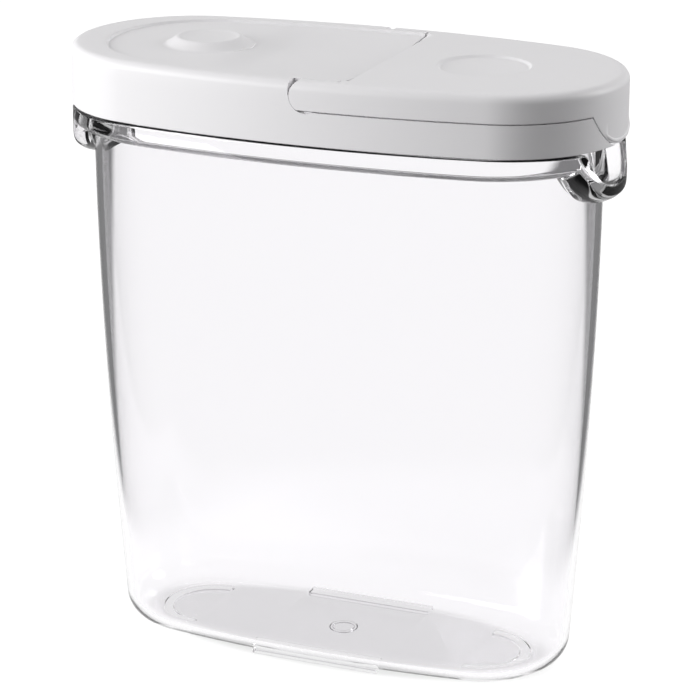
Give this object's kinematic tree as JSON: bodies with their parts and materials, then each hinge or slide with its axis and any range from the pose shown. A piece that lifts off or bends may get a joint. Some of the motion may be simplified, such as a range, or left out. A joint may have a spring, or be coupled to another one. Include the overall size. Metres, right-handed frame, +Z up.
{
  "type": "cereal dispenser",
  "caption": "Tall oval clear jar with finger notches in its collar and a white press-on lid, one half of which is a hinged pouring flap.",
  "frame": {"origin": "centre of the footprint, on the surface that the feet stand on", "axes": "+Z up, +X along the jar towards the pouring flap, +Y across the jar"},
  "size_m": [0.1704, 0.08, 0.1861],
  "materials": {
    "clear_plastic": "polished clear moulding",
    "white_plastic": "fine matte moulded",
    "seal_elastomer": "soft satin"
  },
  "bodies": {
    "jar": {"jar": "clear_plastic"},
    "lid": {"lid_frame": "white_plastic", "rim_seal": "seal_elastomer"},
    "flap": {"pour_flap": "white_plastic", "flap_seal": "seal_elastomer"}
  },
  "joints": [
    {"name": "lid_lift", "type": "slide", "parent": "jar", "child": "lid", "axis": [0, 0, 1], "range_m": [0, 0.04]},
    {"name": "flap_hinge", "type": "hinge", "parent": "lid", "child": "flap", "pos_m": [0.0043, 0, 0.1806], "axis": [0, -1, 0], "range_deg": [0, 100]}
  ]
}
